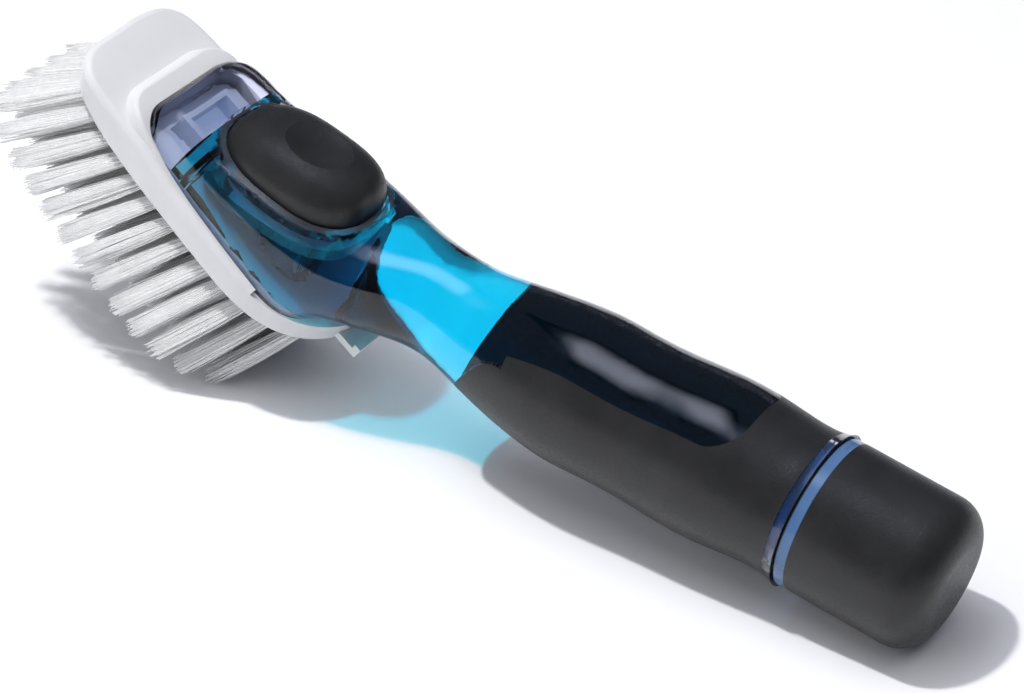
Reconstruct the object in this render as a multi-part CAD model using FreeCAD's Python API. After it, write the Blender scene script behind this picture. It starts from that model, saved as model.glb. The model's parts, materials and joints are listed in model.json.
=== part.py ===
import FreeCAD, Part
import math
import os
from FreeCAD import Placement, Rotation
from FreeCAD import Vector as V

# Soap-dispensing dish wand: a clear soap-filled handle with a soft grip, a screw cap at the tail,
# a thumb pump on top of the head and a replaceable white brush head under it.
# Millimetres and degrees. The wand is modelled along its handle: +X to the tail cap, +Z up,
# the cap seam at x = 0; at the end it is laid down on its bristle tips and its cap.

# Clearances
OVERRUN = 60.0            # how far cutting tools run past the material
SLIDE_FIT = 0.30          # gap between pieces that slide off one another
DRAW_ROOM = 0.15          # more room round the seat, so that the head draws straight off
SEAT_GAP = 0.06           # gap between the clear base and the brush head it sits in
RUNNING_FIT = 0.06        # radial gap of the pump piston in its bore

# Angles
HEAD_TILT = 27.0          # brush plane against the handle, nose up
BUTTON_TILT = 8.5         # thumb button base against the handle, nose up

# Clear body
REACH = 219.5             # nose of the brush head ahead of the cap seam
RISE = 29.4               # nose above the handle axis
TAIL_RADIUS = 21.0        # handle at the cap seam
SHELL_WALL = 2.2          # clear wall
SEAM_GAP = 0.6            # parting line between handle and cap
SECTION_POINTS = 24       # points on each cross-section
# Cross-sections from the front of the head to the tail: place along REACH, then half width,
# top and bottom against TAIL_RADIUS, squareness of the outline, and wall thickness in SHELL_WALL.
BODY_SHARES = [
    (0.938, 0.876, 0.667, -0.571, 5.0, 1.0),
    (0.897, 0.900, 1.062, -0.524, 5.0, 1.0),
    (0.870, 0.919, 1.229, -0.571, 5.0, 1.0),
    (0.843, 0.943, 1.190, -0.667, 5.0, 1.0),
    (0.788, 1.000, 0.952, -0.905, 4.6, 1.0),
    (0.729, 1.057, 0.829, -1.048, 4.0, 1.0),
    (0.670, 1.062, 0.729, -0.952, 3.2, 1.0),
    (0.615, 0.967, 0.657, -0.690, 2.5, 1.0),
    (0.565, 0.800, 0.638, -0.667, 2.3, 1.0),
    (0.524, 0.681, 0.667, -0.676, 2.1, 1.1),
    (0.481, 0.686, 0.648, -0.733, 2.0, 1.4),
    (0.437, 0.771, 0.681, -0.862, 2.0, 1.8),
    (0.387, 0.876, 0.767, -0.986, 2.0, 1.9),
    (0.337, 0.952, 0.843, -1.062, 2.0, 1.9),
    (0.282, 0.971, 0.876, -1.067, 2.0, 1.9),
    (0.191, 0.976, 0.919, -1.033, 2.0, 1.9),
    (0.096, 0.986, 0.967, -1.005, 2.0, 1.9),
    (0.000, 1.000, 1.000, -1.000, 2.0, 1.9),
]
LIP_SETBACK = 24.0        # clear front wall behind the nose edge
LIP_HALF_WIDTH = 19.4     # half width of the clear front wall
LIP_CORNER = 8.0          # corner radius of the clear front in plan
CHAMBER_SETBACK = 44.5    # front wall of the soap chamber behind the nose edge
DIVIDER_WALL = 2.0        # wall between the dry front bay and the soap chamber

# Grip sleeve
GRIP_SKIN = 2.0           # soft skin let into the clear handle
GRIP_TAIL = 3.0           # clear band left bare ahead of the seam
WINDOW_TAIL = 20.0        # rear edge of the window ahead of the seam
WINDOW_HALF_WIDTH = 15.4
WINDOW_CORNER = 9.0
GRIP_FRONT = 98.0         # front edge under the handle ahead of the seam
# Front edge of the sleeve seen from the side: share of GRIP_FRONT, then height in TAIL_RADIUS.
GRIP_EDGE_SHARES = [(1.01, -1.15), (1.00, -0.72), (0.985, -0.46), (0.938, -0.05), (0.913, 0.12),
                    (0.85, 0.235)]

# Tail cap
CAP_LENGTH = 38.6         # seam to the flat end
CAP_RADIUS = 20.1
CAP_ROUND = 9.0           # rounding of the closed end
CAP_BAND = 3.0            # clear flange left bare at the seam
CAP_SKIN = 2.0            # soft cover over the clear cup
CAP_WALL = 2.2
MOUTH_RADIUS = 16.4       # bore of the handle mouth
PLUG_LENGTH = 12.0        # threaded plug inside the handle mouth
THREAD_PITCH = 3.0
PLUG_GAP = 0.45           # radial room for the thread
SEAL_INSET = 0.5          # flat cap seal outside the mouth
SEAL_BREADTH = 2.2

# Thumb button, in its own frame on top of the head
BUTTON_REACH = 157.5      # button centre ahead of the seam
BUTTON_RISE = 16.6        # button base above the handle axis
BUTTON_LENGTH = 43.0
BUTTON_WIDTH = 30.0
BUTTON_HEIGHT = 9.7       # crown above the clear top
BUTTON_SKIRT = 4.5        # skirt inside the well at rest
BUTTON_TRAVEL = 3.5
BUTTON_SKIN = 1.8         # soft skin over the hard core
BUTTON_GAP = 0.5          # play between skirt and well
# Pebble form from skirt to crown: height share, length share, width share, set-back share.
PEBBLE_SHARES = [
    (0.00, 1.00, 1.00, 0.00),
    (0.30, 0.975, 0.965, 0.00),
    (0.60, 0.875, 0.84, 0.02),
    (0.85, 0.68, 0.62, 0.045),
    (1.00, 0.40, 0.34, 0.06),
]
PEBBLE_SQUARENESS_SHARE = 2.7
DISH_RADIUS = 24.0        # hollow for the thumb tip
DISH_DEPTH = 2.0
DISH_SETBACK = 1.0        # dish behind the button centre

# Pump under the button
WELL_WALL = 1.5
WELL_ROOM = 0.8           # space left under the skirt when pressed
PUMP_SETBACK = 5.0        # pump axis behind the button centre
PUMP_BORE = 7.0           # bore radius
PUMP_WALL = 1.5
PISTON_LENGTH = 3.4
SEAL_WIDTH = 1.4
SEAL_DEPTH = 1.0
STEM_RADIUS = 2.6
STEM_HEAD = 2.0           # length of stem let into the button core
PISTON_ROOM = 0.4         # piston below the well floor at rest
SPRING_WIRE = 0.9
SPRING_RADIUS = 5.0       # to the wire centre
SPRING_TURNS = 3
INLET_RADIUS = 1.4
FLAP_SKIN = 0.7
FLAP_HALF_ANGLE = 40.0
FLAP_HEIGHT = 4.0
FLAP_LIFT = 1.0           # flap above the oblique floor

# Base plate and outlet
PLATE_SKIN = 2.0
SPOUT_RADIUS = 4.6
SPOUT_BORE = 3.4
SPOUT_RECESS = 0.6        # spout's end above the underside of the brush head
OUTLET_RADIUS = 2.2
VALVE_FLANGE = 0.9
VALVE_RADIUS = 2.3
VALVE_SLIT = 0.5
VALVE_LENGTH = 4.6
RETAINER_LENGTH = 1.4
RETAINER_BORE = 2.5
BLOCK_LENGTH = 9.0        # latch block seen through the clear front
BLOCK_HALF_WIDTH = 9.0
BLOCK_HEIGHT = 5.5
BLOCK_WALL = 1.6

# Brush head
HEAD_LENGTH = 98.0
HEAD_WIDTH = 48.8
HEAD_DEPTH = 10.8         # underside below the nose top
SEAT_DEPTH = 4.0          # pocket floor below the nose top
HEAD_ROUND = 1.8
NOTCH_SETBACK = 76.0      # rim steps down behind this place
NOTCH_DEPTH = 4.4
# Plan outline from the nose to the rear: share of HEAD_LENGTH, then of half HEAD_WIDTH.
PLAN_SHARES = [(-0.012, 0.0), (-0.011, 0.46), (0.002, 0.72), (0.032, 0.875), (0.092, 0.945), (0.163, 0.95),
               (0.245, 0.945), (0.327, 0.95), (0.48, 0.965), (0.663, 1.0), (0.796, 0.963), (0.898, 0.766),
               (0.969, 0.43), (1.0, 0.0)]
# The same outline on the underside, which draws in under the nose.
BASE_SHARES = [(0.029, 0.0), (0.030, 0.32), (0.043, 0.53), (0.082, 0.69), (0.128, 0.765), (0.184, 0.825),
               (0.255, 0.875), (0.337, 0.915), (0.49, 0.96), (0.663, 0.996), (0.796, 0.959), (0.898, 0.762),
               (0.969, 0.426), (1.0, 0.0)]
PLAN_LEVEL_SHARE = 0.4    # height of the upper outline above the nose, in HEAD_DEPTH
# Top of the nose and rim seen from the side: share of HEAD_LENGTH, then of HEAD_DEPTH.
RIM_SHARES = [(-0.04, -0.03), (0.05, 0.0), (0.15, 0.0), (0.25, 0.0), (0.34, -0.03), (0.43, -0.14),
              (0.55, -0.205), (0.70, -0.21), (0.85, -0.21), (1.05, -0.21)]
# Top of the collar round the clear front, in the same shares.
COLLAR_SHARES = [(-0.04, 0.32), (0.10, 0.32), (0.20, 0.325), (0.255, 0.30), (0.31, 0.14), (0.37, -0.04),
                 (0.45, -0.22), (0.60, -0.40)]
COLLAR_BROW = 5.5         # collar's upper edge ahead of the clear front
COLLAR_RUN = 5.0          # run of its sloping front face
COLLAR_SIDE = 0.9         # its upper edge beyond the clear front's sides
COLLAR_DRAFT = 1.0        # slope of its sides
COLLAR_ROUND = 1.2        # rounding of its upper edge

# Bristles
TUFT_ROWS = 13
TUFT_PITCH = 6.6          # across a row
ROW_FRONT = 8.0           # first row behind the nose edge
ROW_REAR = 8.0            # last row ahead of the rear end
FIELD_MARGIN = 4.4        # outermost tuft inside the plan outline
TUFT_ROOT = 1.8           # radius in the hole
TUFT_TIP = 3.1            # radius at the tips
TUFT_DEPTH = 4.4          # length in the hole
HOLE_GAP = 0.06           # play of a tuft in its round hole
TUFT_LENGTH = 34.5        # free length below the underside
TUFT_SIDES = 8
LEAN_FRONT = 30.0         # forward lean of the first row
LEAN_REAR = 12.0          # forward lean of the last row
LEAN_FADE = 1.2           # power with which the lean dies away towards the rear
SPLAY_SIDE = 18.0         # outward lean of the outermost tufts
OUTLET_MARGIN = 3.6       # tufts keep this far from the soap outlet
ANCHOR_SKIN = 0.5
ANCHOR_HEIGHT = 1.0
ANCHOR_INSET = 0.4        # anchor's ends inside the tuft's sides

# Release tab
TAB_WIDTH = 11.0
TAB_SKIN = 2.0
TAB_LENGTH = 6.4          # beyond the rear of the head
TAB_ROOT = 4.0            # length let into the head
TAB_DROP = 8.4            # top of the tab below the nose top
TAB_LEDGE = 1.6           # raised thumb ledge at the tab's end
TAB_SWING = 8.0           # degrees the tab is pulled down to free the head

HEAD = Placement(V(-REACH, 0, RISE), Rotation(V(0, 1, 0), HEAD_TILT))
BUTTON = Placement(V(-BUTTON_REACH, 0, BUTTON_RISE), Rotation(V(0, 1, 0), BUTTON_TILT))


def at(shape, place):
    """The shape carried from a local frame into the wand frame."""
    moved = shape.copy()
    moved.Placement = place.multiply(moved.Placement)
    return moved


def block(x0, x1, half_width, z0, z1):
    """A box between two x and two z planes, symmetric across the wand."""
    return Part.makeBox(x1 - x0, half_width + half_width, z1 - z0, V(x0, -half_width, z0))


def rod(radius, z0, z1, x=0):
    """A round bar along local z."""
    return Part.makeCylinder(radius, z1 - z0, V(x, 0, z0))


def tube(outer, inner, z0, z1, x=0):
    return rod(outer, z0, z1, x).cut(rod(inner, z0 - OVERRUN, z1 + OVERRUN, x))


def power(value, exponent):
    return math.copysign(abs(value) ** exponent, value)


def spline(points, closed=False):
    """A smooth edge through the points."""
    curve = Part.BSplineCurve()
    curve.interpolate(Points=points, PeriodicFlag=closed)
    return curve.toShape()


def polygon_face(points):
    return Part.Face(Part.makePolygon(points + points[:1]))


def cross_section(x, half_width, top, bottom, squareness):
    """A rounded outline across the handle axis."""
    middle = (top + bottom) / 2
    half_height = (top - bottom) / 2
    points = []
    for i in range(SECTION_POINTS):
        turn = 2 * math.pi * i / SECTION_POINTS
        y = half_width * power(math.cos(turn), 2 / squareness)
        z = half_height * power(math.sin(turn), 2 / squareness)
        points.append(V(x, y, middle + z))
    return Part.Wire([spline(points, closed=True)])


def body_loft(inset=0, walls=0):
    """The clear body's form, drawn in by an inset plus a number of wall thicknesses."""
    wires = []
    for place, width, top, bottom, squareness, wall in BODY_SHARES:
        draw = inset + walls * wall * SHELL_WALL
        wires.append(cross_section(-place * REACH, width * TAIL_RADIUS - draw, top * TAIL_RADIUS - draw,
                                   bottom * TAIL_RADIUS + draw, squareness))
    return Part.makeLoft(wires, True)


def front_outline(front, side, corner, rear, flare, level):
    """Closed plan outline with a round-cornered front, its sides running back and apart to the rear."""
    diagonal = corner * math.sqrt(0.5)
    edges = []
    for sign in (-1, 1):
        edges.append(Part.Arc(V(front, sign * (side - corner), level),
                              V(front + corner - diagonal, sign * (side - corner + diagonal), level),
                              V(front + corner, sign * side, level)).toShape())
    edges.append(Part.makeLine(V(front, side - corner, level), V(front, corner - side, level)))
    back = Part.makePolygon([V(front + corner, -side, level), V(rear, -side - flare, level),
                             V(rear, side + flare, level), V(front + corner, side, level)])
    return Part.Wire(Part.__sortEdges__(edges + back.Edges))


def lip_prism(outset=0):
    """Everything behind the clear body's rounded front wall, in the wand frame."""
    front = LIP_SETBACK - outset
    corner = LIP_CORNER + outset
    flare = OVERRUN + OVERRUN
    wire = front_outline(front, LIP_HALF_WIDTH + outset, corner, front + corner + flare, flare, -OVERRUN)
    return at(Part.Face(wire).extrude(V(0, 0, flare)), HEAD)


def above_seat(height):
    """The half space above a plane parallel to the brush head's seat, in the wand frame."""
    slab = block(-OVERRUN, REACH + OVERRUN, REACH, height - SEAT_DEPTH, REACH)
    return at(slab, HEAD)


def clear_outline(form, outset=0, lift=0):
    """The clear body's outside above its seat; a positive outset leaves room round it."""
    handle = block(-BUTTON_REACH, OVERRUN, REACH, -REACH, REACH)
    return form.common(lip_prism(outset).fuse(handle)).common(above_seat(lift))


def grip_sleeve(form):
    """The soft skin round the handle, open at the window on top."""
    skin = form.cut(body_loft(GRIP_SKIN))
    skin = skin.common(block(-GRIP_FRONT - GRIP_SKIN, -GRIP_TAIL, REACH, -REACH, REACH))
    far = -GRIP_FRONT - OVERRUN
    window = block(far, -WINDOW_TAIL, WINDOW_HALF_WIDTH, 0, OVERRUN)
    corners = []
    for edge in window.Edges:
        ends = [vertex.Point for vertex in edge.Vertexes]
        upright = abs(ends[0].z - ends[1].z) > WINDOW_CORNER
        if upright and abs(ends[0].x + WINDOW_TAIL) < SLIDE_FIT:
            corners.append(edge)
    window = window.makeFillet(WINDOW_CORNER, corners)
    points = []
    for along, height in GRIP_EDGE_SHARES:
        points.append(V(-along * GRIP_FRONT, -REACH, height * TAIL_RADIUS))
    edge = spline(points)
    ahead = Part.makePolygon([points[-1], V(points[-1].x, -REACH, OVERRUN), V(far, -REACH, OVERRUN),
                              V(far, -REACH, points[0].z), points[0]])
    front = Part.Face(Part.Wire([edge] + ahead.Edges)).extrude(V(0, REACH + REACH, 0))
    return skin.cut(window).cut(front)


def button_outline(height, length, width, setback=0):
    """The button's rounded plan at one height of its own frame."""
    points = []
    for i in range(SECTION_POINTS):
        turn = 2 * math.pi * i / SECTION_POINTS
        x = length / 2 * power(math.cos(turn), 2 / PEBBLE_SQUARENESS_SHARE)
        y = width / 2 * power(math.sin(turn), 2 / PEBBLE_SQUARENESS_SHARE)
        points.append(V(setback + x, y, height))
    return Part.Wire([spline(points, closed=True)])


def button_prism(outset, z0, z1):
    face = Part.Face(button_outline(z0, BUTTON_LENGTH + 2 * outset, BUTTON_WIDTH + 2 * outset))
    return face.extrude(V(0, 0, z1 - z0))


def pebble(inset):
    """The button's crowned form, drawn in by an inset, from the skirt's lower edge up."""
    wires = []
    for height, length, width, setback in PEBBLE_SHARES:
        wires.append(button_outline(height * (BUTTON_HEIGHT - inset), length * BUTTON_LENGTH - 2 * inset,
                                    width * BUTTON_WIDTH - 2 * inset, setback * BUTTON_LENGTH))
    return Part.makeLoft(wires, True).fuse(button_prism(-inset, -BUTTON_SKIRT, 0)).removeSplitter()


def dish(inset):
    """The hollow for the thumb tip."""
    crown = BUTTON_HEIGHT - inset
    return Part.makeSphere(DISH_RADIUS, V(DISH_SETBACK, 0, crown + DISH_RADIUS - DISH_DEPTH))


WELL_FLOOR = -BUTTON_SKIRT - BUTTON_TRAVEL - WELL_ROOM
PISTON_TOP = WELL_FLOOR - WELL_WALL - PISTON_ROOM
CORE_TOP = BUTTON_HEIGHT - BUTTON_SKIN - DISH_DEPTH
SPRING_SEAT = BUTTON_SKIN


def thumb_button():
    skin = pebble(0).cut(dish(0))
    return skin.cut(pebble(BUTTON_SKIN).cut(dish(BUTTON_SKIN)))


def button_core():
    """The hard cup under the soft skin, with a boss that takes the pump stem."""
    core = pebble(BUTTON_SKIN).cut(dish(BUTTON_SKIN))
    core = core.cut(button_prism(-BUTTON_SKIN - WELL_WALL, -OVERRUN, SPRING_SEAT))
    return core.cut(rod(STEM_RADIUS, -OVERRUN, SPRING_SEAT + STEM_HEAD, PUMP_SETBACK))


def plunger():
    """Stem and piston, grooved for the seal."""
    stem = rod(STEM_RADIUS, PISTON_TOP, SPRING_SEAT + STEM_HEAD, PUMP_SETBACK)
    piston = rod(PUMP_BORE - RUNNING_FIT, PISTON_TOP - PISTON_LENGTH, PISTON_TOP, PUMP_SETBACK)
    return stem.fuse(piston).removeSplitter().cut(piston_seal())


def piston_seal():
    middle = PISTON_TOP - PISTON_LENGTH / 2
    outer = PUMP_BORE - RUNNING_FIT
    return tube(outer, outer - SEAL_DEPTH, middle - SEAL_WIDTH / 2, middle + SEAL_WIDTH / 2, PUMP_SETBACK)


def pump_housing(clear_top, floor):
    """Oval well round the button's skirt with the pump cylinder under it, standing on the base plate."""
    well = button_prism(BUTTON_GAP + WELL_WALL, WELL_FLOOR - WELL_WALL, BUTTON_HEIGHT)
    well = well.cut(button_prism(BUTTON_GAP, WELL_FLOOR, OVERRUN))
    well = at(well, BUTTON).common(clear_top)
    cylinder = rod(PUMP_BORE + PUMP_WALL, -OVERRUN, WELL_FLOOR - WELL_WALL, PUMP_SETBACK)
    body = well.fuse(at(cylinder, BUTTON).common(floor))
    body = body.cut(at(rod(PUMP_BORE, -OVERRUN, WELL_FLOOR - WELL_WALL, PUMP_SETBACK), BUTTON))
    stem_hole = rod(STEM_RADIUS + SLIDE_FIT, -OVERRUN, WELL_FLOOR + WELL_WALL, PUMP_SETBACK)
    body = body.cut(at(stem_hole, BUTTON))
    inlet = Part.makeCylinder(INLET_RADIUS, PUMP_BORE + PUMP_WALL + PUMP_WALL,
                              V(PUMP_SETBACK, 0, flap_middle()), V(1, 0, 0))
    return body.cut(at(inlet, BUTTON)).removeSplitter()


def floor_height(x):
    """Height of the base plate's top face in the button frame at a place along the button."""
    normal = HEAD.Rotation.multVec(V(0, 0, 1))
    on_plate = HEAD.multVec(V(0, 0, PLATE_SKIN + SEAT_GAP - SEAT_DEPTH))
    start = BUTTON.multVec(V(x, 0, 0))
    down = BUTTON.Rotation.multVec(V(0, 0, 1))
    return (on_plate - start).dot(normal) / down.dot(normal)


def flap_middle():
    return floor_height(PUMP_SETBACK + PUMP_BORE) + FLAP_LIFT + FLAP_HEIGHT / 2


def inlet_valve():
    """Soft curved flap over the inlet hole, inside the pump cylinder."""
    middle = flap_middle()
    half_height = FLAP_HEIGHT / 2
    ring = tube(PUMP_BORE, PUMP_BORE - FLAP_SKIN, middle - half_height, middle + half_height, PUMP_SETBACK)
    reach = PUMP_BORE + PUMP_BORE
    half = reach * math.tan(math.radians(FLAP_HALF_ANGLE))
    base = V(PUMP_SETBACK, 0, middle - FLAP_HEIGHT)
    wedge = polygon_face([base, base + V(reach, half, 0), base + V(reach, -half, 0)])
    return ring.common(wedge.extrude(V(0, 0, FLAP_HEIGHT + FLAP_HEIGHT)))


def biarc(start, start_way, end, end_way):
    """Two tangent arcs from one point and direction to another."""
    span = end - start
    ways = start_way + end_way
    lead = ways.dot(ways) - 4
    half = span.dot(ways)
    reach = (half - math.sqrt(half * half - lead * span.dot(span))) / lead
    corners = (start + start_way * reach, end - end_way * reach)
    joint = (corners[0] + corners[1]) * 0.5
    arcs = []
    for first, corner, last in ((start, corners[0], joint), (joint, corners[1], end)):
        middle = (first + last) * 0.5
        chord = (last - first).Length
        rise = corner - middle
        sagitta = chord / 2 * math.tan(math.atan2(rise.Length, chord / 2) / 2)
        rise.normalize()
        arcs.append(Part.Arc(first, middle + rise * sagitta, last).toShape())
    return arcs


def return_spring():
    """Compression coil round the stem, from the well floor to the button core."""
    low = WELL_FLOOR + SPRING_WIRE / 2
    high = SPRING_SEAT - SPRING_WIRE / 2
    climb = (high - low) / SPRING_TURNS
    slope = climb / (2 * math.pi)
    steps = 4 * SPRING_TURNS

    def place(turn):
        x = PUMP_SETBACK + SPRING_RADIUS * math.cos(turn)
        return V(x, SPRING_RADIUS * math.sin(turn), low + slope * turn)

    def way(turn):
        return V(-SPRING_RADIUS * math.sin(turn), SPRING_RADIUS * math.cos(turn), slope).normalize()

    edges = []
    for i in range(steps):
        turn = math.pi / 2 * i
        following = math.pi / 2 * (i + 1)
        edges.extend(biarc(place(turn), way(turn), place(following), way(following)))
    ring = Part.Wire([Part.Circle(place(0), way(0), SPRING_WIRE / 2).toShape()])
    coil = Part.Wire(edges).makePipeShell([ring], True, False)
    trail = []
    for edge in edges:
        trail.extend(edge.discretize(Number=5))
    gap = min((a - b).Length for i, a in enumerate(trail) for b in trail[i + 4 * 10:]) - SPRING_WIRE
    print("return spring: least gap between turns %.2f mm" % gap)
    return coil


def outlet_setback():
    """Place of the soap outlet along the brush head."""
    foot = BUTTON.multVec(V(PUMP_SETBACK, 0, floor_height(PUMP_SETBACK)))
    return HEAD.inverse().multVec(foot).x


def clear_inside():
    """The room inside the clear walls, down to the seat."""
    handle = block(-BUTTON_REACH, OVERRUN, REACH, -REACH, REACH)
    room = body_loft(0, 1).common(lip_prism(-SHELL_WALL).fuse(handle))
    return room.common(above_seat(SEAT_GAP))


def head_slab(u0, u1, n0, n1):
    return at(block(u0, u1, REACH, n0, n1), HEAD)


def base_plate(inside):
    """Floor of the clear head with the latch block, and the spout through the brush head."""
    low = SEAT_GAP - SEAT_DEPTH
    top = low + PLATE_SKIN
    plate = inside.common(head_slab(0, REACH, low, top))
    outlet = outlet_setback()
    spout = at(tube(SPOUT_RADIUS, SPOUT_BORE, SPOUT_RECESS - HEAD_DEPTH, low, outlet), HEAD)
    front = (LIP_SETBACK + SHELL_WALL + CHAMBER_SETBACK - DIVIDER_WALL - BLOCK_LENGTH) / 2
    latch = block(front, front + BLOCK_LENGTH, BLOCK_HALF_WIDTH, top, top + BLOCK_HEIGHT)
    latch = latch.cut(block(front + BLOCK_WALL, front + BLOCK_LENGTH - BLOCK_WALL,
                            BLOCK_HALF_WIDTH - BLOCK_WALL, top, top + OVERRUN))
    plate = plate.fuse(spout).fuse(at(latch, HEAD))
    return plate.cut(at(rod(OUTLET_RADIUS, low - PLATE_SKIN, top + OVERRUN, outlet), HEAD)).removeSplitter()


def outlet_valve():
    """Soft duckbill: a flange under the outlet and two lips closing on a slit."""
    top = SEAT_GAP - SEAT_DEPTH
    flange_foot = top - VALVE_FLANGE
    foot = flange_foot - VALVE_LENGTH
    outlet = outlet_setback()
    flange = rod(SPOUT_BORE, flange_foot, top, outlet)
    bill = rod(VALVE_RADIUS, foot, flange_foot, outlet)
    for side in (-1, 1):
        wedge = polygon_face([V(outlet + side * VALVE_RADIUS, -SPOUT_BORE, flange_foot),
                              V(outlet + side * VALVE_RADIUS, -SPOUT_BORE, foot),
                              V(outlet + side * VALVE_SLIT, -SPOUT_BORE, foot)])
        bill = bill.cut(wedge.extrude(V(0, SPOUT_BORE + SPOUT_BORE, 0)))
    return at(flange.fuse(bill).removeSplitter(), HEAD)


def valve_retainer():
    top = SEAT_GAP - SEAT_DEPTH - VALVE_FLANGE
    return at(tube(SPOUT_BORE, RETAINER_BORE, top - RETAINER_LENGTH, top, outlet_setback()), HEAD)


def reservoir_shell(outside, inside, sleeve):
    """Clear hollow body: soap chamber, dry front bay, button opening and handle mouth."""
    bay = inside.common(head_slab(0, CHAMBER_SETBACK - DIVIDER_WALL, -REACH, REACH))
    chamber = inside.common(head_slab(CHAMBER_SETBACK, REACH + REACH, -REACH, REACH))
    floor = inside.common(head_slab(0, REACH, -REACH, SEAT_GAP - SEAT_DEPTH + PLATE_SKIN))
    shell = outside.cut(sleeve).cut(bay).cut(chamber).cut(floor)
    shell = shell.cut(at(button_prism(BUTTON_GAP + WELL_WALL, WELL_FLOOR - WELL_WALL, OVERRUN), BUTTON))
    mouth = Part.makeCylinder(MOUTH_RADIUS, PLUG_LENGTH + PLUG_GAP + OVERRUN,
                              V(-PLUG_LENGTH - THREAD_PITCH, 0, 0), V(1, 0, 0))
    return shell.cut(mouth).cut(block(-SEAM_GAP / 2, OVERRUN, REACH, -REACH, REACH))


def cup_profile(radius, start, end, corner):
    """Half outline of a round-ended cup along the handle axis."""
    diagonal = corner * math.sqrt(0.5)
    arc = Part.Arc(V(end - corner, 0, radius), V(end - corner + diagonal, 0, radius - corner + diagonal),
                   V(end, 0, radius - corner)).toShape()
    lines = [Part.makeLine(V(start, 0, 0), V(start, 0, radius)),
             Part.makeLine(V(start, 0, radius), V(end - corner, 0, radius)),
             arc,
             Part.makeLine(V(end, 0, radius - corner), V(end, 0, 0)),
             Part.makeLine(V(end, 0, 0), V(start, 0, 0))]
    return Part.Face(Part.Wire(lines))


def cup(radius, start, end, corner):
    return cup_profile(radius, start, end, corner).revolve(V(0, 0, 0), V(1, 0, 0), 360)


def disc(radius, start, end):
    return Part.makeCylinder(radius, end - start, V(start, 0, 0), V(1, 0, 0))


def cap_core():
    """Clear threaded plug, flange and cup under the soft cover."""
    plug = MOUTH_RADIUS - PLUG_GAP
    inner = cup(CAP_RADIUS - CAP_SKIN, CAP_BAND, CAP_LENGTH - CAP_SKIN, CAP_ROUND - CAP_SKIN)
    flange = disc(CAP_RADIUS, SEAM_GAP / 2, CAP_BAND)
    solid = disc(plug, -PLUG_LENGTH, SEAM_GAP / 2).fuse(flange).fuse(inner)
    hollow_end = CAP_LENGTH - CAP_SKIN - CAP_WALL
    hollow = cup(plug - CAP_WALL, -PLUG_LENGTH - OVERRUN, hollow_end, CAP_ROUND - CAP_SKIN)
    return solid.cut(hollow).removeSplitter()


def cap_cover():
    """Soft cover over the cap, flat on its closed end."""
    skin = cup(CAP_RADIUS, CAP_BAND, CAP_LENGTH, CAP_ROUND)
    return skin.cut(cup(CAP_RADIUS - CAP_SKIN, -OVERRUN, CAP_LENGTH - CAP_SKIN, CAP_ROUND - CAP_SKIN))


def cap_seal():
    """Flat ring pressed between the handle's rim and the cap's flange."""
    bore = MOUTH_RADIUS + SEAL_INSET
    ring = disc(bore + SEAL_BREADTH, SEAT_GAP - SEAM_GAP / 2, SEAM_GAP / 2)
    return ring.cut(disc(bore, -OVERRUN, OVERRUN))


def head_half_width(u):
    """Half width of the brush head's underside at a place behind the nose."""
    share = u / HEAD_LENGTH
    for (a, wide_a), (b, wide_b) in zip(BASE_SHARES, BASE_SHARES[1:]):
        if a <= share <= b:
            return HEAD_WIDTH / 2 * (wide_a + (wide_b - wide_a) * (share - a) / (b - a))
    return 0


def head_plan(shares, level):
    """Closed outline of the brush head at one level, as a near and a far half."""
    near = [V(u * HEAD_LENGTH, -y * HEAD_WIDTH / 2, level) for u, y in shares]
    away = [V(point.x, -point.y, level) for point in reversed(near[1:-1])]
    curve = Part.BSplineCurve()
    curve.interpolate(Points=near + away, PeriodicFlag=True)
    start, end = curve.FirstParameter, curve.LastParameter
    middle = (start + end) / 2
    return Part.Wire([curve.toShape(start, middle), curve.toShape(middle, end)])


def under_profile(shares):
    """Everything in the head below a top edge seen from the side, and that edge drawn out as a sheet."""
    points = [V(u * HEAD_LENGTH, -HEAD_WIDTH, n * HEAD_DEPTH) for u, n in shares]
    edge = spline(points)
    under = -HEAD_DEPTH - HEAD_DEPTH
    below = Part.makePolygon([points[-1], V(points[-1].x, -HEAD_WIDTH, under),
                              V(points[0].x, -HEAD_WIDTH, under), points[0]])
    across = V(0, HEAD_WIDTH + HEAD_WIDTH, 0)
    return Part.Face(Part.Wire([edge] + below.Edges)).extrude(across), edge.extrude(across)


def rounded_brim(solid, sheet, radius):
    """The solid with its edges on the sheet rounded."""
    brim = []
    for edge in solid.Edges:
        samples = [Part.Vertex(point).distToShape(sheet)[0] for point in edge.discretize(Number=5)]
        if max(samples) < SEAT_GAP:
            brim.append(edge)
    return solid.makeFillet(radius, brim)


def head_collar():
    """Raised collar round the clear front, with a sloping face, falling away along the sides."""
    rear = COLLAR_SHARES[-1][0] * HEAD_LENGTH
    outlines = []
    for level, run, draft in ((-SEAT_DEPTH, COLLAR_RUN, COLLAR_DRAFT), (SEAT_DEPTH, 0, 0)):
        front = LIP_SETBACK - COLLAR_BROW - run
        outlines.append(front_outline(front, LIP_HALF_WIDTH + COLLAR_SIDE + draft, LIP_CORNER + run,
                                      rear, 0, level))
    below, sheet = under_profile(COLLAR_SHARES)
    return rounded_brim(Part.makeLoft(outlines, True, True).common(below), sheet, COLLAR_ROUND)


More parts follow.
